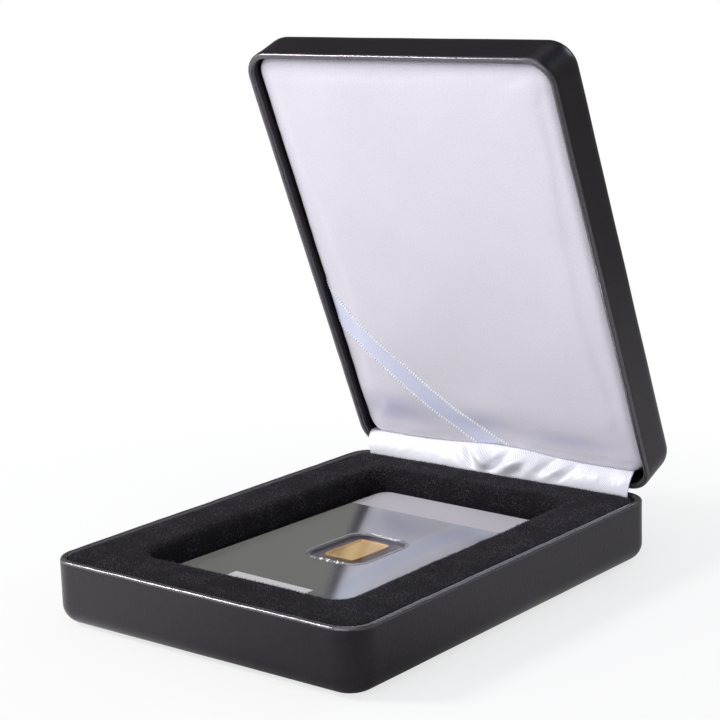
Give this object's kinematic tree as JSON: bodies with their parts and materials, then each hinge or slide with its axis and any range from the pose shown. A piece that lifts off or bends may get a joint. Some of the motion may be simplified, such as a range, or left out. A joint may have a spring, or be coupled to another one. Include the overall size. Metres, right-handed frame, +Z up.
{
  "type": "bullion bar presentation case",
  "caption": "Hinged flat presentation case with a velvet well that holds a carded small bar, and a padded satin lid held open by a stiff hinge.",
  "frame": {"origin": "middle of the base's underside", "axes": "+Z up, -Y out of the front, the hinge along X at the +Y side, lid open at rest"},
  "size_m": [0.091, 0.1302, 0.1299],
  "materials": {
    "shell_steel": "thin pressed steel, blackened, hidden under the leatherette",
    "leatherette": "black fine-grained leatherette with a soft sheen",
    "foam": "soft foam, hidden",
    "greyboard": "plain greyboard, hidden",
    "velvet": "black short-pile velvet",
    "satin": "white satin with a cool lilac shade",
    "hinge_steel": "bright steel",
    "card_plastic": "silver-grey plastic card",
    "card_mirror": "mirror-like silver laminate with a plain matt header band",
    "label_paper": "plain pale label",
    "clear_plastic": "clear plastic",
    "gold": "polished gold with a fine grained field"
  },
  "bodies": {
    "base": {"base_shell": "shell_steel", "base_cover": "leatherette", "base_filler_foam": "foam", "base_hinge_leaf": "hinge_steel", "base_hinge_rivets": "hinge_steel", "hinge_pin": "hinge_steel", "hinge_gusset": "satin", "well_floor_board": "greyboard", "well_floor_velvet": "velvet", "well_frame_foam": "foam", "well_frame_velvet": "velvet"},
    "card": {"card_back": "card_plastic", "card_core": "card_plastic", "card_face": "card_mirror", "card_label": "label_paper", "capsule_dish": "clear_plastic", "capsule_film": "clear_plastic", "gold_bar": "gold"},
    "lid": {"lid_shell": "shell_steel", "lid_cover": "leatherette", "lid_filler_foam": "foam", "lid_pad_board": "greyboard", "lid_pad_foam": "foam", "lid_pad_satin": "satin", "certificate_ribbon": "satin", "lid_hinge_leaf": "hinge_steel", "lid_hinge_rivets": "hinge_steel"}
  },
  "joints": [
    {"name": "lid_hinge", "type": "hinge", "parent": "base", "child": "lid", "pos_m": [0, 0.0597, 0.0158], "axis": [1, 0, 0], "range_deg": [0, 67.75], "deforming": ["hinge_gusset"]},
    {"name": "card_lift", "type": "slide", "parent": "base", "child": "card", "axis": [0, 0, 1], "range_m": [0, 0.007]}
  ]
}
